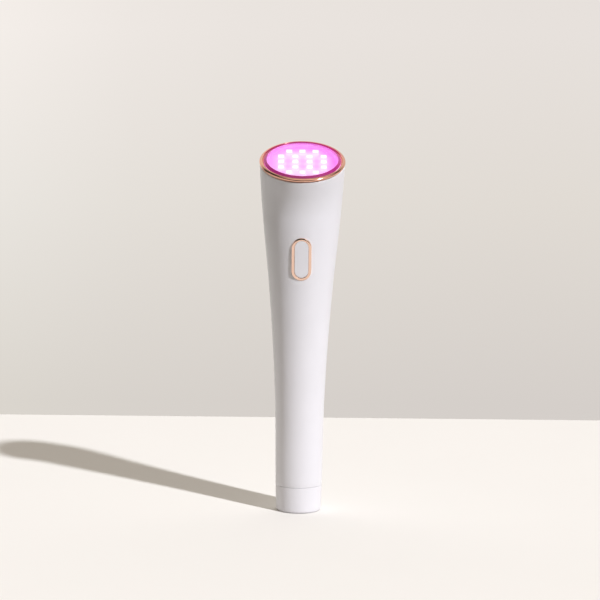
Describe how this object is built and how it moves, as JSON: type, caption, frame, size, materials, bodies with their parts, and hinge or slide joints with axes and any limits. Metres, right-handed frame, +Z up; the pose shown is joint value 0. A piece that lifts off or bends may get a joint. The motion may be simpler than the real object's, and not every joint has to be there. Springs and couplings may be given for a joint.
{
  "type": "red light therapy wand",
  "caption": "Slim flared hand-held light therapy wand with a tilted round lamp head, a pill-shaped push button and a pull-off foot cap over the charging socket.",
  "frame": {"origin": "centre of the foot's underside", "axes": "+Z up along the handle, the button and the head's tilt towards -Y, +X to the right seen from the front"},
  "size_m": [0.038, 0.0406, 0.1646],
  "materials": {
    "shell_white": "satin white moulding",
    "cap_white": "satin white moulding",
    "button_white": "satin white moulding",
    "rose_gold": "polished, rose gold",
    "lens_clear": "clear, polished",
    "reflector_plastic": "white moulding lit pink",
    "led_package": "lit lamp package",
    "board_white": "white solder mask",
    "board_green": "green solder mask",
    "black_plastic": "black moulding",
    "grey_plastic": "grey moulding",
    "rubber": "silicone",
    "cell": "plastic-wrapped metal can",
    "nickel_strip": "plain nickel-plated strip",
    "screw_steel": "plated",
    "can_metal": "plain can",
    "ferrite": "dark grey",
    "red_insulation": "soft wire insulation",
    "black_insulation": "soft wire insulation"
  },
  "bodies": {
    "wand_body": {"battery_cell": "cell", "button_rim": "rose_gold", "cap_o_ring": "rubber", "capacitor": "can_metal", "cell_tab_minus": "nickel_strip", "cell_tab_plus": "nickel_strip", "cell_wire_minus": "black_insulation", "charge_chip": "black_plastic", "charge_wire_minus": "black_insulation", "charge_wire_plus": "red_insulation", "chassis": "grey_plastic", "driver_chip": "black_plastic", "end_plug": "black_plastic", "head_carrier": "grey_plastic", "head_ring": "rose_gold", "housing": "shell_white", "inductor": "ferrite", "lamp_wire_minus": "black_insulation", "lamp_wire_plus": "red_insulation", "led_01": "led_package", "led_02": "led_package", "led_03": "led_package", "led_04": "led_package", "led_05": "led_package", "led_06": "led_package", "led_07": "led_package", "led_08": "led_package", "led_09": "led_package", "led_10": "led_package", "led_11": "led_package", "led_12": "led_package", "led_13": "led_package", "led_14": "led_package", "led_15": "led_package", "led_16": "led_package", "led_17": "led_package", "led_18": "led_package", "led_board": "board_white", "lens": "lens_clear", "lens_gasket": "rubber", "main_board": "board_green", "plug_screw_back": "screw_steel", "plug_screw_front": "screw_steel", "reflector_wall": "reflector_plastic", "socket_board": "board_green", "socket_core": "black_plastic", "socket_shell": "screw_steel", "switch_body": "black_plastic"},
    "button": {"button_cap": "button_white", "switch_plunger": "rubber"},
    "foot_cap": {"base_cap": "cap_white"}
  },
  "joints": [
    {"name": "button_press", "type": "slide", "parent": "wand_body", "child": "button", "axis": [0, 0.9947, 0.1027], "range_m": [0, 0.0005], "stiffness_N_per_m": 1200, "springref_m": -0.0005},
    {"name": "base_cap_pull", "type": "slide", "parent": "wand_body", "child": "foot_cap", "axis": [0, 0, -1], "range_m": [0, 0.025]}
  ]
}
